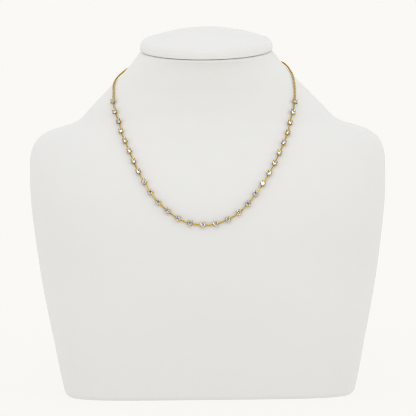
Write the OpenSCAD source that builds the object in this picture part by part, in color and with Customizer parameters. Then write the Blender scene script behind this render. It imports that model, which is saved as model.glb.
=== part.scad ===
// Diamond tennis necklace laid on a neck display bust. Millimetres, +Z up.
// The viewer stands at -Y, and the origin is at the middle of the bust's base.
// Twenty-nine claw settings with a round bar between each pair make the front,
// and two cable chains with a box clasp close the loop behind the neck.

/* [Bust] */
// Width of the bust across the shoulders
bust_w = 230; // [226:1:234]
// Height of the bust from its base to the seam under the neck cap
bust_h = 220.5; // [218:0.5:223]
// Depth of the bust from chest to back
bust_d = 111; // [108:1:114]
// Diameter of the neck cap
cap_d = 86.4; // [86:0.1:87]
// Height of the cap's dome above its rim
cap_dome_h = 7.2; // [6:0.1:8]
// Height of the cap's rounded rim, below the dome
cap_rim_h = 6.9; // [6.4:0.1:7.4]
// Open seam between the bust and the cap
cap_seam = 0.4; // [0.3:0.1:0.8]

/* [Stones and settings] */
// Distance between two neighbouring stones, measured along the necklace
pitch = 8.05; // [7.9:0.05:8.15]
// Diameter of a stone
stone_d = 3; // [2.9:0.05:3.05]
// Width of a stone's table, as a share of its diameter
table_share = 0.57; // [0.53:0.01:0.62]
// Radius of the rail at the foot of a setting
foot_rail_r = 1.08; // [1.05:0.01:1.12]
// Radius of the gallery rail half way up a setting
gallery_rail_r = 1.42; // [1.38:0.02:1.46]
// Diameter of a claw's wire
claw_d = 0.6; // [0.54:0.02:0.64]
// Diameter of the round bar between two settings
bar_d = 0.84; // [0.7:0.02:0.9]

/* [Chain and clasp] */
// Inside length of a chain link
link_inner_l = 1.5; // [1.4:0.05:1.7]
// Outside width of a chain link
link_w = 1.5; // [1.4:0.05:1.6]
// Diameter of a chain link's wire
link_wire_d = 0.4; // [0.3:0.02:0.42]
// Length of the box clasp
clasp_l = 9; // [8:0.5:10]
// Width of the box clasp
clasp_w = 4; // [3:0.5:5]
// Thickness of the box clasp
clasp_t = 2; // [1.6:0.1:2.4]

/* [Hidden] */
STATIONS = 29;
MIDDLE = 15;
function two_digits(k) = str(k < 10 ? "0" : "", k);
LINKS = [for (k = [1:STATIONS]) str("link_", two_digits(k))];

// Level sections of the bust, from the base up, drawn for a bust 230 wide, 220.5 high and 111 deep.
// A section is a rounded rectangle that grows rounder as square falls to 2, and leans forward by tilt.
// columns: height, half_width, axis_y, front, back, square, tilt
SECTIONS = [
  [0, 92, 0, 45, 43.5, 5, 0],
  [2.5, 93.8, 0, 47, 45.5, 5, 0],
  [35, 100.5, 0, 52.4, 49.3, 4, 0],
  [72, 108.2, 0, 56.4, 52.4, 2.6, 0],
  [110, 113.2, 0, 53.4, 54.3, 2.6, 0],
  [128, 114.8, 0.3, 49.7, 54.2, 2.6, 0],
  [142, 115, 1.5, 44.8, 53, 2.6, 0],
  [154, 114.7, 4, 40.2, 50.5, 2.6, 0],
  [163, 111, 6.8, 37, 47.7, 2.6, 0],
  [168, 104.6, 8.5, 35.6, 46, 2.6, 0],
  [171, 96.4, 9.6, 34.9, 44.9, 2.6, 0],
  [173.5, 88, 10.5, 34.5, 44, 2.6, 0],
  [177, 82, 11.5, 34.1, 43, 2.6, 0],
  [184, 75.6, 12.2, 33.8, 42.3, 2.45, 0.5],
  [194, 65.8, 12.5, 34.3, 42, 2.2, 2],
  [204, 56, 12.5, 36.2, 42, 2.05, 4],
  [212, 48.9, 12.5, 38.3, 42, 2, 6.5],
  [217, 44.9, 12.5, 40.6, 42.2, 2, 8],
  [219.5, 43, 12.5, 42.4, 42.4, 2, 8.5],
  [220.5, 42, 12.5, 42, 42, 2, 8.5],
];
HEIGHT = 0;
HALF_WIDTH = 1;
AXIS_Y = 2;
FRONT = 3;
BACK = 4;
SQUARE = 5;
TILT = 6;

// The way the necklace lies: 0 degrees is the front, +90 the viewer's right, 180 the nape.
// columns: angle, height
LIE = [
  [-180, 213], [-150, 212], [-125, 209.8], [-112, 208.2], [-102, 206.4],
  [-92, 203], [-82, 198.9], [-73, 192.2], [-63, 175.9], [-53, 157.2],
  [-44, 142], [-32, 126.1], [-18, 115.3], [-3, 112], [10, 114],
  [22, 120.5], [32, 130.9], [43, 144.7], [53, 160.5], [60, 174],
  [66, 186.4], [71, 194.4], [76, 199.8], [82.5, 204.2], [88, 207.2],
  [95, 209.2], [105, 209.9], [125, 211], [150, 212.5], [180, 213],
];
ANGLE = 0;
LIE_HEIGHT = 1;
// Angle of the middle stone, a little to the left of the bust's centre line
middle_angle = -3.6;

// Drawn size of the sections, and how far the driving sizes stretch them
DRAWN = [230, 111, 220.5];
stretch = [bust_w / DRAWN.x, bust_d / DRAWN.y, bust_h / DRAWN.z];

// Mesh of the bust: points round a ring, and the most that two rings stand apart
ring_points = 64;
ring_step = 9;
small_row = 2;

// Slope of a column at row i, from the rows on both sides of it
function slope(table, key, col, i) =
  let (a = table[max(i - 1, 0)], b = table[min(i + 1, len(table) - 1)])
  (b[col] - a[col]) / (b[key] - a[key]);
function row_below(table, key, x, i = 0) =
  i >= len(table) - 2 || x < table[i + 1][key] ? i : row_below(table, key, x, i + 1);
// Smooth curve through a column's values, read at x of the key column
function smooth(table, key, col, x) =
  let (
    i = row_below(table, key, x),
    step = table[i + 1][key] - table[i][key],
    u = (x - table[i][key]) / step,
    a = table[i][col],
    b = table[i + 1][col],
    rise = b - a,
    slope_a = slope(table, key, col, i) * step,
    slope_b = slope(table, key, col, i + 1) * step
  )
  a + u * slope_a + u * u * (3 * rise - 2 * slope_a - slope_b) + u * u * u * (slope_a + slope_b - 2 * rise);

// All columns of the section at a height
function section(height) =
  [for (col = [HEIGHT:TILT]) col == HEIGHT ? height : smooth(SECTIONS, HEIGHT, col, height)];
// Point of a section at the outline parameter t, where 0 is the front and 90 the viewer's right
function outline_point(s, t) =
  let (
    reach = pow(pow(abs(sin(t)), s[SQUARE]) + pow(abs(cos(t)), s[SQUARE]), -1 / s[SQUARE]),
    depth = cos(t) > 0 ? s[FRONT] : s[BACK],
    forward = -reach * depth * cos(t)
  )
  [
    stretch.x * reach * s[HALF_WIDTH] * sin(t),
    stretch.y * (s[AXIS_Y] + forward * cos(s[TILT])),
    stretch.z * s[HEIGHT] + forward * sin(s[TILT]),
  ];
// Point of the bust's surface at an angle round its axis and a height
function surface_point(angle, height) =
  let (s = section(height), depth = cos(angle) > 0 ? s[FRONT] : s[BACK])
  outline_point(s, atan2(sin(angle) / s[HALF_WIDTH], cos(angle) / depth));

function unit(v) = v / norm(v);
function across(v, n) = unit(v - (v * n) * n);
// Outward normal of the bust's surface
function surface_normal(angle, height) =
  let (
    tiny = 0.05,
    along = surface_point(angle + tiny, height) - surface_point(angle - tiny, height),
    up = surface_point(angle, height + tiny) - surface_point(angle, height - tiny)
  )
  unit(cross(along, up));

// Height above the bust's surface of the necklace's centre line
lift = 0.95;
function lie_height(angle) = smooth(LIE, ANGLE, LIE_HEIGHT, angle);
function line_point(angle) =
  let (height = lie_height(angle))
  surface_point(angle, height) + lift * surface_normal(angle, height);

// The centre line measured from nape to nape, one sample for each degree
samples = 360;
line_angles = [for (i = [0:samples]) -180 + i];
line_points = [for (a = line_angles) line_point(a)];
line_steps = [for (i = [1:samples]) norm(line_points[i] - line_points[i - 1])];
line_travel = [
  for (i = 0, sum = 0; i <= samples; sum = sum + (i < samples ? line_steps[i] : 0), i = i + 1) sum
];
angle_at_travel = [for (i = [0:samples]) [line_travel[i], line_angles[i]]];
travel_at_angle = [for (i = [0:samples]) [line_angles[i], line_travel[i]]];
loop_l = line_travel[samples];
middle_travel = lookup(middle_angle, travel_at_angle);
function station_travel(k) = middle_travel + (k - MIDDLE) * pitch;

// Frame at a distance along the centre line: [origin on the line, along, up the bust, outwards]
function frame_at(travel) =
  let (
    angle = lookup(travel, angle_at_travel),
    reach = 0.5,
    out = surface_normal(angle, lie_height(angle)),
    along = across(line_point(angle + reach) - line_point(angle - reach), out)
  )
  [line_point(angle), along, cross(out, along), out];
function to_world(f, p) = f[0] + p.x * f[1] + p.y * f[2] + p.z * f[3];
// Moves its children from a frame's own axes to where the frame stands
module place(f) {
  multmatrix([
    [f[1].x, f[2].x, f[3].x, f[0].x],
    [f[1].y, f[2].y, f[3].y, f[0].y],
    [f[1].z, f[2].z, f[3].z, f[0].z],
    [0, 0, 0, 1],
  ]) children();
}

// Parts of a setting, measured from the centre line of the necklace
round_wire_fn = 16;
cup_hole_r = 0.6;
cup_foot_r = 1.15;
cup_foot_z = -0.7;
cup_lip_r = 1.5;
cup_lip_z = 0.55;
foot_wire_r = 0.19;
foot_rail_z = -0.55;
gallery_wire_r = 0.15;
gallery_rail_z = 0.2;
eye_r = 0.38;
eye_wire_r = 0.13;
chain_eye_r = 0.5;
chain_eye_wire_r = 0.15;
solder = 0.05;
claw_count = 4;
claw_foot_r = 1.1;
claw_top_r = 1.86;
claw_top_z = 1.14;
claw_bead_r = 0.35;
claw_tip_r = 1.25;
claw_tip_z = 1.5;
claw_arm_r = 0.27;
claw_tip_bead_r = 0.3;

// Heights of a stone's culet, girdle and table, measured from the same line
stone_r = stone_d / 2;
stone_gap = 0.04;
culet_z = -0.42;
girdle_low_z = 0.86;
girdle_high_z = 0.97;
crown_h = 0.45;
mains = 8;
half_main = 180 / mains;
pavilion_break = 0.24;

module wire_ring(ring_r, wire_r) {
  rotate_extrude($fn = 32) translate([ring_r, 0]) circle(r = wire_r, $fn = round_wire_fn);
}

// Where a setting's two eyes stand: one on its left side, and one at the end of its bar
side_eye_x = -(gallery_rail_r + eye_r - solder);
bar_eye_x = side_eye_x - eye_r;
bar_end_x = bar_eye_x - eye_r + solder;
bar_start_x = cup_foot_r + 0.02;
eye_lift = 0.02;

// Seat that a stone is set in: its outline with a little room round it
module stone_seat() {
  r = stone_r + stone_gap;
  rotate_extrude($fn = 48) polygon([
    [0, culet_z - stone_gap], [r, girdle_low_z - stone_gap], [r, girdle_high_z + stone_gap],
    [stone_r * table_share, girdle_high_z + crown_h + 2 * stone_gap],
    [0, girdle_high_z + crown_h + 2 * stone_gap],
  ]);
}

// One claw: a wire that leans outwards up to a bead, and an arm from there that is bent in over
// the stone's crown and ends in a smaller bead
module claw() {
  run = claw_top_r - claw_foot_r;
  rise = claw_top_z - foot_rail_z;
  reach = claw_top_r - claw_tip_r;
  climb = claw_tip_z - claw_top_z;
  translate([claw_foot_r, 0, foot_rail_z])
    rotate([0, atan2(run, rise), 0]) cylinder(d = claw_d, h = norm([run, rise]), $fn = round_wire_fn);
  translate([claw_top_r, 0, claw_top_z]) {
    sphere(r = claw_bead_r, $fn = round_wire_fn);
    rotate([0, -atan2(reach, climb), 0])
      cylinder(r = claw_arm_r, h = norm([reach, climb]), $fn = round_wire_fn);
  }
  translate([claw_tip_r, 0, claw_tip_z]) sphere(r = claw_tip_bead_r, $fn = round_wire_fn);
}

// Basket of a setting: an open-bottomed cup with two rails and four claws round the stone's seat
module cup() {
  rotate_extrude($fn = 48) polygon([
    [cup_hole_r, cup_foot_z], [cup_foot_r, cup_foot_z], [cup_lip_r, cup_lip_z], [cup_hole_r, cup_lip_z],
  ]);
}
module basket() {
  translate([0, 0, foot_rail_z]) wire_ring(foot_rail_r, foot_wire_r);
  difference() {
    union() {
      cup();
      translate([0, 0, gallery_rail_z]) wire_ring(gallery_rail_r, gallery_wire_r);
      for (k = [0:claw_count - 1]) rotate([0, 0, 45 + 90 * k]) claw();
    }
    stone_seat();
  }
}

// Bar from setting k to the eye of the next one, bent as an arc that leaves this setting straight.
// The end is given in this setting's own frame.
module bar(end) {
  chord = end - [bar_start_x, 0, 0];
  aside = norm([chord.y, chord.z]);
  bend = atan2(aside, chord.x);
  roll = atan2(chord.z, chord.y);
  arc_r = norm(chord) / (2 * sin(bend));
  translate([bar_start_x, 0, 0]) rotate([roll, 0, 0]) translate([0, arc_r, 0])
    rotate([0, 0, -90]) rotate_extrude(angle = 2 * bend, $fn = 48)
      translate([arc_r, 0]) circle(d = bar_d, $fn = round_wire_fn);
}

// A point of one frame, measured in another
function seen_from(f, p) = let (d = p - f[0]) [d * f[1], d * f[2], d * f[3]];

// Setting k with its bar, whose eye stands upright in the flat eye of the next setting
module link(k) {
  here = frame_at(station_travel(k));
  next = frame_at(station_travel(k + 1));
  color("gold") place(here) {
    basket();
    if (k > 1) translate([side_eye_x, 0, eye_lift]) wire_ring(eye_r, eye_wire_r);
    if (k < STATIONS) bar(seen_from(here, to_world(next, [bar_end_x, 0, eye_lift])));
    if (k == 1) chain_eye(-1, 0);
    if (k == STATIONS) chain_eye(1, 0);
  }
  if (k < STATIONS) color("gold") place(next)
    translate([bar_eye_x, 0, eye_lift]) rotate([90, 0, 0]) wire_ring(eye_r, eye_wire_r);
}

// Eye on an end setting for the first link of a chain, turned square to that link
chain_eye_x = gallery_rail_r + chain_eye_r - solder;
module chain_eye(side, i) {
  translate([side * chain_eye_x, 0, 0]) rotate([-link_roll(i), 0, 0])
    wire_ring(chain_eye_r, chain_eye_wire_r);
}

// One round brilliant: an eight-sided table, 32 crown and 24 pavilion facets, and a girdle between them
function polar(r, a, z) = [r * cos(a), r * sin(a), z];
module brilliant() {
  table_r = stone_r * table_share / cos(half_main / 2);
  table_z = girdle_high_z + crown_h;
  star_r = (table_r * cos(half_main) + stone_r) / 2;
  star_z = table_z - crown_h * (star_r * cos(half_main) - table_r) / (stone_r - table_r);
  break_r = stone_r * pavilion_break;
  break_z = culet_z + (girdle_low_z - culet_z) * pavilion_break * cos(half_main);
  table_pts = [for (j = [0:mains - 1]) polar(table_r, 2 * half_main * j, table_z)];
  star_pts = [for (j = [0:mains - 1]) polar(star_r, 2 * half_main * j + half_main, star_z)];
  high_pts = [for (j = [0:2 * mains - 1]) polar(stone_r, half_main * j, girdle_high_z)];
  low_pts = [for (j = [0:2 * mains - 1]) polar(stone_r, half_main * j, girdle_low_z)];
  break_pts = [for (j = [0:mains - 1]) polar(break_r, 2 * half_main * j + half_main, break_z)];
  star = mains;
  high = 2 * mains;
  low = 4 * mains;
  deep = 6 * mains;
  culet = 7 * mains;
  polyhedron(
    points = concat(table_pts, star_pts, high_pts, low_pts, break_pts, [[0, 0, culet_z]]),
    faces = concat(
      [[for (j = [mains - 1:-1:0]) j]],
      [for (j = [0:mains - 1]) let (n = (j + 1) % mains) [j, n, star + j]],
      [for (j = [0:mains - 1]) [j, star + j, high + 2 * j]],
      [for (j = [0:mains - 1]) let (p = (j + mains - 1) % mains) [j, high + 2 * j, star + p]],
      [for (j = [0:mains - 1]) [star + j, high + 2 * j + 1, high + 2 * j]],
      [for (j = [0:mains - 1]) [star + j, high + (2 * j + 2) % (2 * mains), high + 2 * j + 1]],
      [for (j = [0:2 * mains - 1]) let (n = (j + 1) % (2 * mains)) [high + j, high + n, low + n, low + j]],
      [for (j = [0:mains - 1]) [deep + j, low + 2 * j, low + 2 * j + 1]],
      [for (j = [0:mains - 1]) [deep + j, low + 2 * j + 1, low + (2 * j + 2) % (2 * mains)]],
      [for (j = [0:mains - 1]) [culet, low + 2 * j, deep + j]],
      [for (j = [0:mains - 1]) let (p = (j + mains - 1) % mains) [culet, deep + p, low + 2 * j]]
    )
  );
}

module stones() {
  color("aliceblue") for (k = [1:STATIONS]) place(frame_at(station_travel(k))) brilliant();
}

// One oval link of a cable chain, lying along X: two half rings and two straight wires
module oval_link() {
  wire_r = link_wire_d / 2;
  bend_r = link_w / 2 - wire_r;
  straight = link_inner_l + 2 * wire_r - 2 * bend_r;
  for (turn = [0, 180]) rotate([0, 0, turn]) translate([straight / 2, 0, 0]) {
    rotate([0, 0, -90]) rotate_extrude(angle = 180, $fn = 24)
      translate([bend_r, 0]) circle(r = wire_r, $fn = round_wire_fn);
    translate([0, bend_r, 0]) rotate([0, -90, 0]) cylinder(r = wire_r, h = straight, $fn = round_wire_fn);
  }
}

// Links stand a tenth of a millimetre apart where they pass through each other
link_gap = 0.1;
link_step = link_inner_l - link_gap;
function link_roll(i) = i % 2 == 0 ? 45 : -45;
// From an eye's centre to the centre of the link that hangs in it
hook_reach = chain_eye_r - chain_eye_wire_r - link_gap + link_inner_l / 2;
end_reach = chain_eye_x + hook_reach;
clasp_eye_x = clasp_l / 2 + chain_eye_r - 3 * solder;
clasp_reach = clasp_eye_x + hook_reach;

// Travel of a chain's first and last link, and how many links fill the way between them
left_from = station_travel(1) - end_reach;
left_to = clasp_reach;
right_from = station_travel(STATIONS) + end_reach;
right_to = loop_l - clasp_reach;
function link_count(from, to) = ceil(abs(to - from) / link_step) + 1;
module chain(from, to) {
  count = link_count(from, to);
  for (i = [0:count - 1])
    place(frame_at(from + (to - from) * i / (count - 1))) rotate([link_roll(i), 0, 0]) oval_link();
}
module chain_left() {
  color("gold") chain(left_from, left_to);
}
module chain_right() {
  color("gold") chain(right_from, right_to);
}

// Box clasp at the nape, with an eye at each end
clasp_corner_r = 0.8;
clasp_clear = 0.25;
module clasp_outline() {
  inner = [clasp_l - 2 * clasp_corner_r, clasp_w - 2 * clasp_corner_r];
  square([clasp_l, inner.y], center = true);
  square([inner.x, clasp_w], center = true);
  for (sx = [-1, 1], sy = [-1, 1])
    translate([sx * inner.x / 2, sy * inner.y / 2]) circle(r = clasp_corner_r, $fn = 24);
}
module clasp_eye(travel, count) {
  place(frame_at(travel)) rotate([-link_roll(count - 1), 0, 0]) wire_ring(chain_eye_r, chain_eye_wire_r);
}
module clasp() {
  color("gold") {
    place(frame_at(0)) translate([0, 0, clasp_clear - lift]) linear_extrude(clasp_t) clasp_outline();
    clasp_eye(clasp_eye_x, link_count(left_from, left_to));
    clasp_eye(loop_l - clasp_eye_x, link_count(right_from, right_to));
  }
}

// Bust: rings of points joined by triangles, with a flat base and a flat neck
function ring_count(row_h) = row_h <= small_row ? 1 : max(2, ceil(row_h / ring_step));
ring_heights = concat(
  [for (i = [0:len(SECTIONS) - 2])
    let (a = SECTIONS[i][HEIGHT], row_h = SECTIONS[i + 1][HEIGHT] - a, count = ring_count(row_h))
    for (j = [0:count - 1]) a + row_h * j / count],
  [SECTIONS[len(SECTIONS) - 1][HEIGHT]]
);
module bust_form() {
  n = ring_points;
  top = len(ring_heights) - 1;
  pts = [for (h = ring_heights) let (s = section(h)) for (k = [0:n - 1]) outline_point(s, 360 * k / n)];
  walls = [for (r = [0:top - 1], k = [0:n - 1]) let (m = (k + 1) % n, a = r * n, b = a + n)
    each [[a + k, b + k, b + m], [a + k, b + m, a + m]]];
  base = [for (k = [0:n - 1]) k];
  neck = [for (k = [n - 1:-1:0]) top * n + k];
  color("whitesmoke") polyhedron(points = pts, faces = concat([base, neck], walls), convexity = 6);
}

// Domed cap on the neck, lying parallel to the bust's slanted top
cap_edge_r = 5.2;
dome_power = 1.8;
dome_rings = 9;
module neck_cap() {
  r = cap_d / 2;
  neck_top = SECTIONS[len(SECTIONS) - 1];
  edge = [for (a = [0:15:75]) [r - cap_edge_r * (1 - cos(a)), cap_rim_h - cap_edge_r * (1 - sin(a))]];
  dome_r = r - cap_edge_r;
  dome = [for (i = [dome_rings - 1:-1:0]) let (share = i / dome_rings)
    [dome_r * share, cap_rim_h + cap_dome_h * (1 - pow(share, dome_power))]];
  color("whitesmoke")
    translate([0, stretch.y * neck_top[AXIS_Y], stretch.z * neck_top[HEIGHT]])
      rotate([neck_top[TILT], 0, 0]) translate([0, 0, cap_seam])
        rotate_extrude($fn = 96)
          polygon(concat([[0, 0], [r - cap_seam, 0], [r, cap_seam]], edge, dome));
}

bust_form();
neck_cap();
for (k = [1:STATIONS]) link(k);
stones();
chain_left();
chain_right();
clasp();
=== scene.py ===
import bpy
import numpy as np
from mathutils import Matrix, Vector


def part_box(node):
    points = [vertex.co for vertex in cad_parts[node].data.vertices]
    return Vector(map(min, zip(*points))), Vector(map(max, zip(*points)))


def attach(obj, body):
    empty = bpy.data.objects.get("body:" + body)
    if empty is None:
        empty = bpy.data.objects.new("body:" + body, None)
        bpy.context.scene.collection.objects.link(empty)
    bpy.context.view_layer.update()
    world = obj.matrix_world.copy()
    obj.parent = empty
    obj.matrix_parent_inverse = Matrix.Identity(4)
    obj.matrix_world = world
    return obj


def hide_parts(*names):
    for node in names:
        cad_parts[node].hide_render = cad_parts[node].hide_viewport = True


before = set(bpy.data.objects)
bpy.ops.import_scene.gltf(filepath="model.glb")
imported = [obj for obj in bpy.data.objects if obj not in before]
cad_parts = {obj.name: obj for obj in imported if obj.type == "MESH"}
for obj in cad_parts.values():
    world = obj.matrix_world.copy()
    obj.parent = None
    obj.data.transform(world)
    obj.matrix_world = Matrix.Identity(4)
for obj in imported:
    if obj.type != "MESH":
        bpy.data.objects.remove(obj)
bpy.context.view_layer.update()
MM = 0.001

# Bust: a hollow moulded torso wrapped in matte white leatherette. The cover is stretched over the
# form, turned in at the base and at the seam round the neck, and glued, so it shows no folds.

# Level sections of the bust, from the base up, in millimetres. A section is a rounded rectangle
# that grows rounder as square falls to 2, and its plane leans by tilt degrees about the X axis.
# columns: height, half_width, axis_y, front, back, square, tilt
SECTIONS = np.array([
    [0, 92, 0, 45, 43.5, 5, 0],
    [2.5, 93.8, 0, 47, 45.5, 5, 0],
    [35, 100.5, 0, 52.4, 49.3, 4, 0],
    [72, 108.2, 0, 56.4, 52.4, 2.6, 0],
    [110, 113.2, 0, 53.4, 54.3, 2.6, 0],
    [128, 114.8, 0.3, 49.7, 54.2, 2.6, 0],
    [142, 115, 1.5, 44.8, 53, 2.6, 0],
    [154, 114.7, 4, 40.2, 50.5, 2.6, 0],
    [163, 111, 6.8, 37, 47.7, 2.6, 0],
    [168, 104.6, 8.5, 35.6, 46, 2.6, 0],
    [171, 96.4, 9.6, 34.9, 44.9, 2.6, 0],
    [173.5, 88, 10.5, 34.5, 44, 2.6, 0],
    [177, 82, 11.5, 34.1, 43, 2.6, 0],
    [184, 75.6, 12.2, 33.8, 42.3, 2.45, 0.5],
    [194, 65.8, 12.5, 34.3, 42, 2.2, 2],
    [204, 56, 12.5, 36.2, 42, 2.05, 4],
    [212, 48.9, 12.5, 38.3, 42, 2, 6.5],
    [217, 44.9, 12.5, 40.6, 42.2, 2, 8],
    [219.5, 43, 12.5, 42.4, 42.4, 2, 8.5],
    [220.5, 42, 12.5, 42, 42, 2, 8.5],
])
NECK_TOP = 220.5
NECK_RADIUS = 42
NECK_AXIS_Y = 12.5
NECK_TILT = 8.5


def smooth_column(table, column, x):
    """Cubic Hermite curve through a table's column, read at x of its first column: each row's
    slope is the rise over the run between the rows on both sides of it."""
    key, value = table[:, 0], table[:, column]
    above = np.minimum(np.arange(len(key)) + 1, len(key) - 1)
    below = np.maximum(np.arange(len(key)) - 1, 0)
    slope = (value[above] - value[below]) / (key[above] - key[below])
    i = np.clip(np.searchsorted(key, x, side="right") - 1, 0, len(key) - 2)
    step = key[i + 1] - key[i]
    u = (x - key[i]) / step
    rise = value[i + 1] - value[i]
    a, b = slope[i] * step, slope[i + 1] * step
    return value[i] + u * a + u**2 * (3 * rise - 2 * a - b) + u**3 * (a + b - 2 * rise)


def bust_surface(turn, height):
    """Point of the bust: a rounded rectangle of half_width by front or back, where turn 0 is the
    front and a quarter turn is the viewer's right, reach = (|sin|^sq + |cos|^sq)^(-1/sq)."""
    wide, axis_y, front, back, square, tilt = (
        smooth_column(SECTIONS, column, height) for column in range(1, 7)
    )
    sine, cosine = np.sin(turn), np.cos(turn)
    reach = (np.abs(sine) ** square + np.abs(cosine) ** square) ** (-1 / square)
    forward = -reach * np.where(cosine > 0, front, back) * cosine
    lean = np.radians(tilt)
    return np.stack([
        reach * wide * sine,
        axis_y + forward * np.cos(lean),
        height + forward * np.sin(lean),
    ], axis=-1)


def quads(rows, columns, closed_rows=False):
    """Faces of a grid of points whose columns close into rings, and whose rows may close too."""
    row_count = rows if closed_rows else rows - 1
    r, c = np.meshgrid(np.arange(row_count), np.arange(columns), indexing="ij")
    next_r, next_c = (r + 1) % rows, (c + 1) % columns
    corners = [
        r * columns + c,
        r * columns + next_c,
        next_r * columns + next_c,
        next_r * columns + c,
    ]
    return np.stack(corners, axis=-1).reshape(-1, 4).tolist()


def closed_rings(rings):
    """Points and faces of rings of points, with the first and the last ring closed by a fan of
    triangles round their middles, so that the shell is closed."""
    rows, columns = rings.shape[:2]
    points = np.concatenate([rings.reshape(-1, 3), rings[[0, -1]].mean(axis=1)])
    here = np.arange(columns)
    beside = (here + 1) % columns
    start = np.stack([beside, here, np.full(columns, rows * columns)], axis=-1)
    last = (rows - 1) * columns
    end = np.stack([last + here, last + beside, np.full(columns, rows * columns + 1)], axis=-1)
    return points, quads(rows, columns) + start.tolist() + end.tolist()


def make_piece(name, points, faces, material):
    """Object at the origin with a smooth mesh of these faces and points, given in millimetres."""
    mesh = bpy.data.meshes.new(name)
    mesh.from_pydata((np.reshape(points, (-1, 3)) * MM).tolist(), [], faces)
    mesh.shade_smooth()
    mesh.materials.append(material)
    piece = bpy.data.objects.new(name, mesh)
    bpy.context.scene.collection.objects.link(piece)
    return piece


def new_material(name):
    """New material, with its node tree and its shader."""
    material = bpy.data.materials.new(name)
    material.use_nodes = True
    return material, material.node_tree, material.node_tree.nodes["Principled BSDF"]


def add_node(tree, kind, **values):
    """Shader node of a kind, with values for its inputs, in whose names _ stands for a space."""
    node = tree.nodes.new(f"ShaderNode{kind}")
    for name, value in values.items():
        node.inputs[name.replace("_", " ")].default_value = value
    return node


def blend(tree, share, first, second):
    """Colour that goes from first to second while share, the output of a node, goes from 0 to 1.
    A mix of colours takes its share at socket 0 and its colours at sockets 6 and 7."""
    mix = add_node(tree, "Mix")
    mix.data_type = "RGBA"
    mix.inputs[6].default_value = (*first, 1)
    mix.inputs[7].default_value = (*second, 1)
    tree.links.new(share, mix.inputs[0])
    return mix.outputs[2]


# Leatherette, in millimetres: width and depth of the grain's pebbles, and width of the mottle
GRAIN_SIZE = 0.55
GRAIN_DEPTH = 0.05
MOTTLE_SIZE = 14


def leatherette(name, colour, shade):
    """Matte white leatherette: a fine pebbled grain, a faint mottle between two near whites, and
    a roughness that follows the grain."""
    material, tree, shader = new_material(name)
    shader.inputs["Specular IOR Level"].default_value = 0.12
    place = add_node(tree, "TexCoord")
    grain = add_node(tree, "TexVoronoi", Scale=1 / (GRAIN_SIZE * MM))
    grain.feature = "SMOOTH_F1"
    grain.inputs["Smoothness"].default_value = 0.6
    mottle = add_node(tree, "TexNoise", Scale=1 / (MOTTLE_SIZE * MM), Detail=6, Roughness=0.55)
    gloss = add_node(tree, "MapRange", To_Min=0.52, To_Max=0.68)
    bump = add_node(tree, "Bump", Strength=0.25, Distance=GRAIN_DEPTH * MM)
    for texture in (grain, mottle):
        tree.links.new(place.outputs["Object"], texture.inputs["Vector"])
    for part in (gloss.inputs["Value"], bump.inputs["Height"]):
        tree.links.new(grain.outputs["Distance"], part)
    tree.links.new(blend(tree, mottle.outputs["Fac"], colour, shade), shader.inputs["Base Color"])
    tree.links.new(gloss.outputs["Result"], shader.inputs["Roughness"])
    tree.links.new(bump.outputs["Normal"], shader.inputs["Normal"])
    return material


# Rings of the base, from the middle out: how far in from its edge they stand at the sides
BASE_INSETS = np.array([60, 30, 12, 4, 1.5])
# Top of the neck, from its edge to the middle: a low rim, then the board that carries the cap
# columns: inset, rise
NECK_RINGS = np.array([[0.5, 0], [2.5, -0.1], [2.7, 0.38], [6, 0.38], [20, 0.38], [36, 0.38]])
COVER_WHITE = (0.79, 0.785, 0.765)
COVER_SHADE = (0.775, 0.77, 0.75)

turns = np.linspace(0, 2 * np.pi, 192, endpoint=False)
# Rings of the wall, closest at the rounded base edge and from the shoulders up
heights = np.concatenate([
    np.linspace(0, 2.5, 5),
    np.linspace(3.5, 160, 110),
    np.linspace(161, NECK_TOP, 100),
])
walls = bust_surface(*np.meshgrid(turns, heights))
base_share = 1 - BASE_INSETS[:, None, None] / SECTIONS[0, 1]
base_rings = walls[0] * base_share * [1, 1, 0]
neck_centre = np.array([0, NECK_AXIS_Y, NECK_TOP])
neck_up = np.array([0, -np.sin(np.radians(NECK_TILT)), np.cos(np.radians(NECK_TILT))])
neck_inset, neck_rise = NECK_RINGS.T[..., None, None]
neck_share = 1 - neck_inset / NECK_RADIUS
neck_rings = neck_centre + (walls[-1] - neck_centre) * neck_share + neck_rise * neck_up
bust_rings = np.concatenate([base_rings, walls, neck_rings])
bust_white = leatherette("bust_white", COVER_WHITE, COVER_SHADE)
bust = make_piece("bust_cover", *closed_rings(bust_rings), bust_white)
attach(bust, "root")
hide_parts("bust_form")

# Neck cap: a shallow domed board wrapped in the same leatherette, pressed down on the bust's
# slanted neck so that only a fine dark seam shows between the two covers.
cap_low, cap_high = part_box("neck_cap")
CAP_RADIUS = (cap_high[0] - cap_low[0]) / 2 / MM
CAP_SEAM = 0.4
# Height of the rim, radius of its arc and how far round the arc goes, in degrees
CAP_RIM = 6.9
CAP_EDGE = 5.2
CAP_EDGE_TURN = 75
# Height of the dome over the rim, the power of its curve, and radius of the lip below
CAP_DOME = 7.2
DOME_POWER = 1.8
CAP_LIP = 0.6


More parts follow.
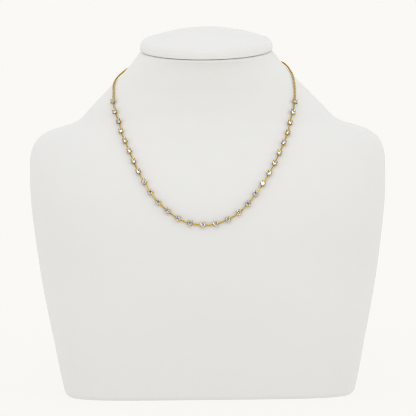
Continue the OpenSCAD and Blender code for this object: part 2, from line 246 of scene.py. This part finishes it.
def cap_profile():
    """Radius and height of the cap's section, from the middle of its underside out and up to the
    crown: a small round lip, the rim's arc and a dome = 1 - share^power."""
    lip = np.linspace(0, np.pi / 2, 7)
    edge = np.linspace(0, np.radians(CAP_EDGE_TURN), 16)
    dome = np.linspace(1, 0.02, 40)
    dome_radius = CAP_RADIUS - CAP_EDGE * (1 - np.cos(edge[-1]))
    dome_start = CAP_RIM - CAP_EDGE * (1 - np.sin(edge[-1]))
    dome_rise = CAP_DOME + CAP_RIM - dome_start
    under = np.array([[10, 0], [30, 0], [CAP_RADIUS - 2 * CAP_LIP, 0]])
    return np.concatenate([
        under,
        np.stack([
            CAP_RADIUS - CAP_LIP * (1 - np.sin(lip)),
            CAP_LIP * (1 - np.cos(lip)),
        ], axis=-1),
        np.stack([
            CAP_RADIUS - CAP_EDGE * (1 - np.cos(edge)),
            CAP_RIM - CAP_EDGE * (1 - np.sin(edge)),
        ], axis=-1),
        np.stack([
            dome_radius * dome[1:],
            dome_start + dome_rise * (1 - dome[1:] ** DOME_POWER),
        ], axis=-1),
    ])


cap_turns = np.linspace(0, 2 * np.pi, 160, endpoint=False)
radius, rise = cap_profile().T[..., None]
forward = -radius * np.cos(cap_turns)
cap_centre = neck_centre + CAP_SEAM * neck_up
cap_back = np.array([0, np.cos(np.radians(NECK_TILT)), np.sin(np.radians(NECK_TILT))])
cap_side = np.stack([radius * np.sin(cap_turns), 0 * forward, 0 * forward], axis=-1)
cap_rings = cap_centre + cap_side + forward[..., None] * cap_back + rise[..., None] * neck_up
cap_white = leatherette("cap_white", COVER_WHITE, COVER_SHADE)
cap = make_piece("neck_cap_cover", *closed_rings(cap_rings), cap_white)
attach(cap, "root")
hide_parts("neck_cap")

# Settings: twenty-nine gold baskets, each a small open-bottomed cup with two rails and four claws
# of drawn wire soldered to it. A round bar runs from each to the next and ends in an upright eye,
# which hangs in the flat eye on the left side of its neighbour.

# The way the necklace lies: 0 degrees is the front, +90 the viewer's right, 180 the nape.
# columns: angle, height
LIE = np.array([
    [-180, 213], [-150, 212], [-125, 209.8], [-112, 208.2], [-102, 206.4],
    [-92, 203], [-82, 198.9], [-73, 192.2], [-63, 175.9], [-53, 157.2],
    [-44, 142], [-32, 126.1], [-18, 115.3], [-3, 112], [10, 114],
    [22, 120.5], [32, 130.9], [43, 144.7], [53, 160.5], [60, 174],
    [66, 186.4], [71, 194.4], [76, 199.8], [82.5, 204.2], [88, 207.2],
    [95, 209.2], [105, 209.9], [125, 211], [150, 212.5], [180, 213],
])
# Height above the bust's surface of the necklace's centre line
LIFT = 0.95
STATIONS = 29
MIDDLE = 15
MIDDLE_ANGLE = -3.6
PITCH = 8.05

# Parts of a setting, measured from the centre line of the necklace
FOOT_RAIL = {"ring_radius": 1.08, "wire_radius": 0.19}
FOOT_RAIL_Z = -0.55
GALLERY_RAIL = {"ring_radius": 1.42, "wire_radius": 0.15}
GALLERY_RAIL_Z = 0.2
EYE = {"ring_radius": 0.38, "wire_radius": 0.13}
CHAIN_EYE = {"ring_radius": 0.5, "wire_radius": 0.15}
# Links and eyes of the chains lean to one side or the other by this angle, in degrees
CHAIN_ROLL = 45
EYE_LIFT = 0.02
SOLDER = 0.05
BAR_RADIUS = 0.42
SIDE_EYE_X = -(GALLERY_RAIL["ring_radius"] + EYE["ring_radius"] - SOLDER)
BAR_EYE_X = SIDE_EYE_X - EYE["ring_radius"]
BAR_END_X = BAR_EYE_X - EYE["ring_radius"] + SOLDER
BAR_START_X = 1.17
CHAIN_EYE_X = GALLERY_RAIL["ring_radius"] + CHAIN_EYE["ring_radius"] - SOLDER

# Wall of the cup, from its foot up the outside, over the lip and down the stone's seat
# columns: radius, height
CUP = np.array([
    [1.12, -0.7], [1.14, -0.695], [1.155, -0.68], [1.17, -0.64], [1.29, -0.22], [1.4, 0.2],
    [1.485, 0.48], [1.495, 0.53], [1.485, 0.55], [1.46, 0.56], [1.28, 0.56], [1.23, 0.545],
    [1.2, 0.52], [0.95, 0.31], [0.66, 0.07], [0.62, 0.03], [0.6, -0.03], [0.6, -0.3],
    [0.6, -0.66], [0.61, -0.69], [0.64, -0.7],
])
# One claw, from its foot to the tip that is pressed over the stone's edge
# columns: share, radius, height, thickness
CLAW = np.array([
    [0, 1.1, -0.55, 0.26],
    [0.42, 1.52, 0.25, 0.29],
    [0.66, 1.8, 0.8, 0.32],
    [0.78, 1.84, 1.14, 0.35],
    [0.88, 1.58, 1.43, 0.34],
    [1, 1.02, 1.57, 0.31],
])


def surface_at(angle, height):
    """Point of the bust that lies out at an angle round its axis, in degrees: the section's turn
    there is atan2(sin / half_width, cos / front or back)."""
    sine, cosine = np.sin(np.radians(angle)), np.cos(np.radians(angle))
    wide, front, back = (smooth_column(SECTIONS, column, height) for column in (1, 3, 4))
    section_turn = np.arctan2(sine / wide, cosine / np.where(cosine > 0, front, back))
    return bust_surface(section_turn, height)


def unit(vectors):
    """Vectors of the same directions, each 1 long."""
    return vectors / np.linalg.norm(vectors, axis=-1, keepdims=True)


def outward(angle, height):
    """Normal of the bust: the cross product of a tiny step round it and a tiny step up it."""
    tiny = 0.05
    aside = surface_at(angle + tiny, height) - surface_at(angle - tiny, height)
    upward = surface_at(angle, height + tiny) - surface_at(angle, height - tiny)
    return unit(np.cross(aside, upward))


def line_at(angle):
    """Point of the necklace's centre line, which lies LIFT out from the bust."""
    height = smooth_column(LIE, 1, angle)
    return surface_at(angle, height) + LIFT * outward(angle, height)


line_angles = np.arange(-180.0, 181.0)
line_steps = np.linalg.norm(np.diff(line_at(line_angles), axis=0), axis=1)
line_travel = np.concatenate([[0], np.cumsum(line_steps)])


def frames_at(travel):
    """Frames at distances along the centre line from the nape. The four rows of a frame are the
    point on the line, along = the line's direction square to the normal, normal x along, normal."""
    angle = np.interp(travel, line_travel, line_angles)
    normal = outward(angle, smooth_column(LIE, 1, angle))
    ahead = line_at(angle + 0.5) - line_at(angle - 0.5)
    along = unit(ahead - np.sum(ahead * normal, axis=-1, keepdims=True) * normal)
    return np.stack([line_at(angle), along, np.cross(normal, along), normal], axis=-2)


def placed(frames, points):
    """Points drawn in a frame's own axes, moved to where each frame stands."""
    return frames[..., None, 0, :] + points @ frames[..., 1:, :]


def rounded(path, radius):
    """Thickness of a wire with round ends: at a distance d from an end it is
    sqrt(d * (2 * radius - d)), up to a radius from the end. The end ring is a small flat."""
    steps = np.linalg.norm(np.diff(path, axis=0), axis=1)
    gone = np.concatenate([[0], np.cumsum(steps)])
    flat = 0.04 * radius
    near = np.clip(np.minimum(gone, gone[-1] - gone), flat, radius)
    return np.sqrt(near * (2 * radius - near))


def wire(path, across, radius, sides=10, closed=False):
    """Round wire along a flat curve: path + radius * (cos * normal + sin * across), where across
    is square to the curve's plane and normal = across x tangent."""
    if closed:
        tangent = unit(np.roll(path, -1, axis=0) - np.roll(path, 1, axis=0))
    else:
        tangent = unit(np.gradient(path, axis=0))
    across = np.asarray(across, float)
    normal = np.cross(across, tangent)[:, None]
    spin = np.linspace(0, 2 * np.pi, sides, endpoint=False)[:, None]
    thickness = np.broadcast_to(radius, len(path))[:, None, None]
    rings = path[:, None] + thickness * (np.cos(spin) * normal + np.sin(spin) * across)
    if closed:
        return rings.reshape(-1, 3), quads(len(path), sides, closed_rows=True)
    return closed_rings(rings)


def wire_ring(centre, ring_radius, wire_radius, roll=0, segments=28):
    """Ring of wire: a circle of ring_radius, lying flat and then rolled about X, in degrees."""
    turn = np.linspace(0, 2 * np.pi, segments, endpoint=False)[:, None]
    side = np.array([0, np.cos(np.radians(roll)), np.sin(np.radians(roll))])
    path = ring_radius * (np.cos(turn) * [1, 0, 0] + np.sin(turn) * side)
    points, faces = wire(path, np.cross([1, 0, 0], side), wire_radius, closed=True)
    return points + centre, faces


def joined(shells):
    """Points and faces of several shells as one list of each."""
    points, faces = [], []
    for shell_points, shell_faces in shells:
        start = sum(len(p) for p in points)
        faces += [[corner + start for corner in face] for face in shell_faces]
        points.append(shell_points)
    return np.concatenate(points), faces


def cup():
    """Wall of the cup: the section CUP turned once round the upright axis."""
    turn = np.linspace(0, 2 * np.pi, 40, endpoint=False)
    radius, height = CUP.T[..., None]
    points = np.stack([radius * np.cos(turn), radius * np.sin(turn), height + 0 * turn], axis=-1)
    return points.reshape(-1, 3), quads(len(CUP), len(turn), closed_rows=True)


def claw(angle):
    """One claw: a wire through the columns of CLAW, in the upright plane at an angle, degrees."""
    share = np.sin(np.linspace(0, np.pi / 2, 18))
    reach, height, thickness = (smooth_column(CLAW, column, share) for column in (1, 2, 3))
    cosine, sine = np.cos(np.radians(angle)), np.sin(np.radians(angle))
    path = np.stack([reach * cosine, reach * sine, height], axis=-1)
    return wire(path, [-sine, cosine, 0], rounded(path, thickness))


def bar(end):
    """Bar to the next setting: an arc that leaves this one straight and reaches end, so that it
    bends by twice the angle of the chord, with radius = chord / (2 * sin(bend))."""
    start = np.array([BAR_START_X, 0, 0])
    chord = end - start
    bend = np.arctan2(np.hypot(chord[1], chord[2]), chord[0])
    aside = unit(np.array([0, chord[1], chord[2]]))
    turn = 2 * bend * (1 - np.cos(np.linspace(0, np.pi, 16)[:, None])) / 2
    arc_radius = np.linalg.norm(chord) / (2 * np.sin(bend))
    path = start + arc_radius * (np.sin(turn) * [1, 0, 0] + (1 - np.cos(turn)) * aside)
    return wire(path, np.cross([1, 0, 0], aside), rounded(path, BAR_RADIUS), sides=14)


# Gold, in millimetres: width of the worn patches, and width and depth of the polishing marks
WEAR_SIZE = 1.6
MARK_SIZE = 0.12
MARK_DEPTH = 0.01
GOLD_DEEP = (0.56, 0.375, 0.035)
GOLD_LIGHT = (0.64, 0.435, 0.05)


def polished_gold():
    """Polished yellow gold: fine polishing marks in the bump, and a roughness that varies a
    little from touched to untouched places."""
    material, tree, shader = new_material("polished_gold")
    shader.inputs["Metallic"].default_value = 1
    place = add_node(tree, "TexCoord")
    wear = add_node(tree, "TexNoise", Scale=1 / (WEAR_SIZE * MM), Detail=5)
    tint = blend(tree, wear.outputs["Fac"], GOLD_DEEP, GOLD_LIGHT)
    gloss = add_node(tree, "MapRange", To_Min=0.1, To_Max=0.26)
    marks = add_node(tree, "TexNoise", Scale=1 / (MARK_SIZE * MM), Detail=3)
    bump = add_node(tree, "Bump", Strength=0.12, Distance=MARK_DEPTH * MM)
    for texture in (wear, marks):
        tree.links.new(place.outputs["Object"], texture.inputs["Vector"])
    tree.links.new(tint, shader.inputs["Base Color"])
    tree.links.new(wear.outputs["Fac"], gloss.inputs["Value"])
    tree.links.new(gloss.outputs["Result"], shader.inputs["Roughness"])
    tree.links.new(marks.outputs["Fac"], bump.inputs["Height"])
    tree.links.new(bump.outputs["Normal"], shader.inputs["Normal"])
    return material


gold = polished_gold()
middle_travel = np.interp(MIDDLE_ANGLE, line_angles, line_travel)
station_travel = middle_travel + (np.arange(STATIONS) + 1 - MIDDLE) * PITCH
stations = frames_at(station_travel)
basket = joined([
    cup(),
    wire_ring([0, 0, FOOT_RAIL_Z], **FOOT_RAIL),
    wire_ring([0, 0, GALLERY_RAIL_Z], **GALLERY_RAIL),
    *(claw(angle) for angle in (45, 135, 225, 315)),
])


def setting_shell(k):
    """Points and faces of setting k, counted from the left: a basket with an eye on its left, and
    the bar to the next setting, whose eye stands in the frame of that one. The first and the last
    setting have a chain's eye instead on their outer side."""
    here = stations[k - 1]
    left_eye = wire_ring([SIDE_EYE_X, 0, EYE_LIFT], **EYE, segments=20)
    if k == 1:
        left_eye = wire_ring([-CHAIN_EYE_X, 0, 0], **CHAIN_EYE, roll=-CHAIN_ROLL)
    if k == STATIONS:
        right_eye = wire_ring([CHAIN_EYE_X, 0, 0], **CHAIN_EYE, roll=-CHAIN_ROLL)
        points, faces = joined([basket, left_eye, right_eye])
        return placed(here, points), faces
    onward = stations[k]
    meeting = placed(onward, np.array([[BAR_END_X, 0, EYE_LIFT]]))[0]
    points, faces = joined([basket, left_eye, bar(here[1:] @ (meeting - here[0]))])
    eye_points, eye_faces = wire_ring([BAR_EYE_X, 0, EYE_LIFT], **EYE, roll=90, segments=20)
    return joined([(placed(here, points), faces), (placed(onward, eye_points), eye_faces)])


for k in range(1, STATIONS + 1):
    setting = make_piece(f"setting_{k:02}", *setting_shell(k), gold)
    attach(setting, "root")
    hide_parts(f"link_{k:02}")

# Stones: round brilliants of colourless diamond, cut with a table, crown, girdle and pavilion,
# each dropped into its basket and held under the tips of the four claws.
DIAMOND_IOR = 2.42
DIAMOND_BLUE = (0.8, 0.84, 0.9)
DIAMOND_CLEAR = (0.88, 0.9, 0.93)
# Width of the patches of faint blue, in millimetres
WATER_SIZE = 6


def diamond():
    """Colourless diamond: clear, highly refractive and polished, with a faint blue variation."""
    material, tree, shader = new_material("diamond")
    shader.inputs["Transmission Weight"].default_value = 1
    shader.inputs["IOR"].default_value = DIAMOND_IOR
    shader.inputs["Roughness"].default_value = 0.0
    place = add_node(tree, "TexCoord")
    water = add_node(tree, "TexNoise", Scale=1 / (WATER_SIZE * MM))
    tree.links.new(place.outputs["Object"], water.inputs["Vector"])
    tint = blend(tree, water.outputs["Fac"], DIAMOND_BLUE, DIAMOND_CLEAR)
    tree.links.new(tint, shader.inputs["Base Color"])
    return material


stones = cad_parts["stones"]
stones.data.materials.clear()
stones.data.materials.append(diamond())

# Chains: oval links of drawn gold wire, bent through one another, each turned a quarter round
# against the next. One runs from each end of the row of settings to the clasp behind the neck.
LINK_INNER = 1.5
LINK_WIDTH = 1.5
LINK_WIRE = 0.2
LINK_GAP = 0.1
CLASP_LENGTH = 9
HOOK_REACH = CHAIN_EYE["ring_radius"] - CHAIN_EYE["wire_radius"] - LINK_GAP + LINK_INNER / 2
CLASP_EYE_X = CLASP_LENGTH / 2 + CHAIN_EYE["ring_radius"] - 3 * SOLDER


def oval_link():
    """Oval of wire along X: half circles of six points round the ends of two straights."""
    bend_radius = LINK_WIDTH / 2 - LINK_WIRE
    straight = LINK_INNER + 2 * LINK_WIRE - 2 * bend_radius
    half = np.linspace(-np.pi / 2, np.pi / 2, 6)
    turn = np.concatenate([half, half + np.pi])
    end = np.repeat([straight / 2, -straight / 2], len(half))
    path = np.stack([
        end + bend_radius * np.cos(turn),
        bend_radius * np.sin(turn),
        0 * turn,
    ], axis=-1)
    return wire(path, [0, 0, 1], LINK_WIRE, sides=6, closed=True)


def link_rolls(count):
    """Rolls of a chain's links: CHAIN_ROLL to one side for even links, to the other for odd."""
    return np.where(np.arange(count) % 2 == 0, CHAIN_ROLL, -CHAIN_ROLL)


def make_chain(name, node, start, end):
    """Chain of as many links as fill the way, each a placed copy of the oval link. Returns how
    far its last link is rolled, in degrees."""
    count = int(np.ceil(abs(end - start) / (LINK_INNER - LINK_GAP))) + 1
    frames = frames_at(np.linspace(start, end, count))
    roll = np.radians(link_rolls(count))[:, None]
    link_points, link_faces = oval_link()
    x, y, z = link_points.T
    rolled = np.stack([
        x + 0 * roll,
        y * np.cos(roll) - z * np.sin(roll),
        y * np.sin(roll) + z * np.cos(roll),
    ], axis=-1)
    starts = np.arange(count)[:, None, None] * len(link_points)
    faces = (np.array(link_faces) + starts).reshape(-1, 4).tolist()
    chain = make_piece(name, placed(frames, rolled), faces, gold)
    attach(chain, "root")
    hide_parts(node)
    return link_rolls(count)[-1]


left_start = station_travel[0] - CHAIN_EYE_X - HOOK_REACH
left_end = CLASP_EYE_X + HOOK_REACH
left_roll = make_chain("cable_chain_left", "chain_left", left_start, left_end)
right_start = station_travel[-1] + CHAIN_EYE_X + HOOK_REACH
right_end = line_travel[-1] - CLASP_EYE_X - HOOK_REACH
right_roll = make_chain("cable_chain_right", "chain_right", right_start, right_end)

# Clasp: a plain gold box at the nape with its edges broken and an eye soldered to each end. The
# neck hides it in the photograph, so it has no tongue that moves.
CLASP_WIDTH = 4
CLASP_THICKNESS = 2
CLASP_CORNER = 0.8
CLASP_CLEAR = 0.25
CLASP_BEVEL = 0.25


def clasp_box():
    """Box with round corners: outline = corner centre + corner radius, shrunk by inset, where
    inset and height follow a quarter circle of CLASP_BEVEL at the lower and the upper edge."""
    quarter = np.linspace(0, np.pi / 2, 5)
    corner = np.concatenate([quarter + k * np.pi / 2 for k in range(4)])
    sign_x = np.repeat([1, -1, -1, 1], len(quarter))
    sign_y = np.repeat([1, 1, -1, -1], len(quarter))
    inset = np.concatenate([
        CLASP_BEVEL * (1 - np.sin(quarter)),
        CLASP_BEVEL * (1 - np.cos(quarter)),
    ])
    rise = np.concatenate([
        CLASP_BEVEL * (1 - np.cos(quarter)),
        CLASP_THICKNESS - CLASP_BEVEL * (1 - np.sin(quarter)),
    ])
    shrunk = (CLASP_CORNER - inset)[:, None]
    x = sign_x * (CLASP_LENGTH / 2 - CLASP_CORNER) + shrunk * np.cos(corner)
    y = sign_y * (CLASP_WIDTH / 2 - CLASP_CORNER) + shrunk * np.sin(corner)
    z = CLASP_CLEAR - LIFT + rise[:, None] + 0 * x
    return closed_rings(np.stack([x, y, z], axis=-1))


box_points, box_faces = clasp_box()
clasp_shells = [(placed(frames_at(0), box_points), box_faces)]
for travel, last_roll in ((CLASP_EYE_X, left_roll), (line_travel[-1] - CLASP_EYE_X, right_roll)):
    eye_points, eye_faces = wire_ring([0, 0, 0], **CHAIN_EYE, roll=-last_roll)
    clasp_shells.append((placed(frames_at(travel), eye_points), eye_faces))
clasp = make_piece("box_clasp", *joined(clasp_shells), gold)
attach(clasp, "root")
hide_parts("clasp")

# Studio: a seamless pale table and backdrop, a key light above the camera, and a soft light
# overhead and on each side. The room is dark in a narrow upright strip behind the camera, as the
# polished metal shows, and at a black card far out on each side, which draws the bust's edges.
BACKDROP = (0.956, 0.947, 0.913)
ROOM_STRENGTH = 1.03
ROOM_WHITE = (1, 1, 1)
ROOM_DARK = (0.02, 0.03, 0.06)
# How much a direction is stretched each way before it is held against the way to the camera
STRIP_STRETCH = (3, 1, 0.3)
TO_CAMERA = (0, -1, 0)
# Where the dark strip and the cards begin, and where they are at their darkest
STRIP_BEGIN = 0.5
STRIP_FULL = 0.8
CARD_BEGIN = 0.9
CARD_FULL = 0.99
TABLE_WHITE = (0.85, 0.845, 0.82)
# The table reaches 30 m each way, lies a little under the bust's base, and passes into the glow
# of the backdrop between these distances from the middle, in metres
TABLE_REACH = 30 / MM
TABLE_DROP = 0.1
FADE_BEGIN = 0.1
FADE_FULL = 0.5
# Soft lights, in metres and watts, all aimed at the middle of the bust
# columns: name, place, size, power
LIGHTS = [
    ("key", (0, -1, 1.1), (0.5, 0.25), 3.3),
    ("overhead", (0, 0.1, 1.35), (1.2, 0.15), 0.2),
    ("left", (-1.5, -0.9, 0.3), (0.9, 0.9), 3.1),
    ("right", (1.5, -0.9, 0.3), (0.9, 0.9), 3.5),
]
LIGHT_AIM = Vector((0, 0, 0.12))

scene = bpy.context.scene
scene.view_settings.view_transform = "Standard"
# A narrow pixel filter, for edges as sharp as the photograph's
scene.cycles.filter_width = 1


def dark_share(tree):
    """Share of darkness in a direction, the larger of two: that of the strip, which grows with the
    dot product of the stretched direction and TO_CAMERA, and that of the cards, which grows
    with |x|."""
    towards = add_node(tree, "TexCoord")
    stretched = add_node(tree, "VectorMath")
    stretched.operation = "MULTIPLY"
    stretched.inputs[1].default_value = STRIP_STRETCH
    length_one = add_node(tree, "VectorMath")
    length_one.operation = "NORMALIZE"
    facing = add_node(tree, "VectorMath")
    facing.operation = "DOT_PRODUCT"
    facing.inputs[1].default_value = TO_CAMERA
    strip = add_node(tree, "MapRange", From_Min=STRIP_BEGIN, From_Max=STRIP_FULL)
    split = add_node(tree, "SeparateXYZ")
    aside = add_node(tree, "Math")
    aside.operation = "ABSOLUTE"
    cards = add_node(tree, "MapRange", From_Min=CARD_BEGIN, From_Max=CARD_FULL)
    larger = add_node(tree, "Math")
    larger.operation = "MAXIMUM"
    tree.links.new(towards.outputs["Generated"], stretched.inputs[0])
    tree.links.new(stretched.outputs[0], length_one.inputs[0])
    tree.links.new(length_one.outputs[0], facing.inputs[0])
    tree.links.new(facing.outputs["Value"], strip.inputs["Value"])
    tree.links.new(towards.outputs["Generated"], split.inputs[0])
    tree.links.new(split.outputs["X"], aside.inputs[0])
    tree.links.new(aside.outputs[0], cards.inputs["Value"])
    tree.links.new(strip.outputs["Result"], larger.inputs[0])
    tree.links.new(cards.outputs["Result"], larger.inputs[1])
    return larger.outputs[0]


def either_of(tree, share, first, second):
    """Surface that is the first shader where share is 0 and the second where it is 1."""
    mix = add_node(tree, "MixShader")
    tree.links.new(share, mix.inputs[0])
    tree.links.new(first.outputs[0], mix.inputs[1])
    tree.links.new(second.outputs[0], mix.inputs[2])
    return mix.outputs[0]


def studio_room():
    """World whose light is white but for the dark strip and cards, and which the camera sees as
    the plain backdrop."""
    world = bpy.data.worlds.new("studio")
    world.use_nodes = True
    tree = world.node_tree
    room = tree.nodes["Background"]
    room.inputs["Strength"].default_value = ROOM_STRENGTH
    tree.links.new(blend(tree, dark_share(tree), ROOM_WHITE, ROOM_DARK), room.inputs["Color"])
    backdrop = add_node(tree, "Background", Color=(*BACKDROP, 1))
    seen = add_node(tree, "LightPath").outputs["Is Camera Ray"]
    surface = either_of(tree, seen, room, backdrop)
    tree.links.new(surface, tree.nodes["World Output"].inputs["Surface"])
    return world


def pale_table():
    """Matte table that passes into the plain glow of the backdrop, so that no horizon shows. It
    glows by nine tenths already at the middle, which leaves a faint shade round the base."""
    material, tree, matte = new_material("pale_table")
    matte.inputs["Base Color"].default_value = (*TABLE_WHITE, 1)
    matte.inputs["Roughness"].default_value = 0.8
    matte.inputs["Specular IOR Level"].default_value = 0
    glow = add_node(tree, "Emission", Color=(*BACKDROP, 1))
    place = add_node(tree, "TexCoord")
    away = add_node(tree, "VectorMath")
    away.operation = "LENGTH"
    fade = add_node(tree, "MapRange", From_Min=FADE_BEGIN, From_Max=FADE_FULL, To_Min=0.9)
    tree.links.new(place.outputs["Object"], away.inputs[0])
    tree.links.new(away.outputs["Value"], fade.inputs["Value"])
    surface = either_of(tree, fade.outputs["Result"], matte, glow)
    tree.links.new(surface, tree.nodes["Material Output"].inputs["Surface"])
    return material


def soft_light(name, place, size, power):
    """Rectangular area light of a size in metres that stands at a place and faces LIGHT_AIM."""
    lamp = bpy.data.lights.new(name, "AREA")
    lamp.shape = "RECTANGLE"
    lamp.size, lamp.size_y = size
    lamp.energy = power
    light = bpy.data.objects.new(name, lamp)
    light.location = place
    away = Vector(place) - LIGHT_AIM
    light.rotation_euler = away.to_track_quat("Z", "Y").to_euler()
    scene.collection.objects.link(light)


scene.world = studio_room()
square = np.array([[-1, -1, 0], [1, -1, 0], [1, 1, 0], [-1, 1, 0]])
corners = square * TABLE_REACH - [0, 0, TABLE_DROP]
floor = make_piece("floor", corners, [[0, 1, 2, 3]], pale_table())
for name, place, size, power in LIGHTS:
    soft_light(name, place, size, power)

# Camera: 1.3 m in front and five degrees above, where the photograph was taken from, and rolled a
# little, as the bust stands in the photograph.
AIM_HEIGHT = 0.118
DISTANCE = 1.3
ELEVATION = np.radians(5)
ROLL = np.radians(0.6)
SENSOR_WIDTH = 36
# Width of the photograph and focal length of its lens, both in pixels of the photograph
PHOTO_WIDTH = 416
FOCAL_LENGTH = 2000
lens = bpy.data.cameras.new("camera")
lens.sensor_width = SENSOR_WIDTH
lens.lens = SENSOR_WIDTH * FOCAL_LENGTH / PHOTO_WIDTH
camera = bpy.data.objects.new("camera", lens)
camera.location = (0, -DISTANCE * np.cos(ELEVATION), AIM_HEIGHT + DISTANCE * np.sin(ELEVATION))
camera.rotation_euler = (np.pi / 2 - ELEVATION, ROLL, -ROLL * np.sin(ELEVATION))
scene.collection.objects.link(camera)
scene.camera = camera
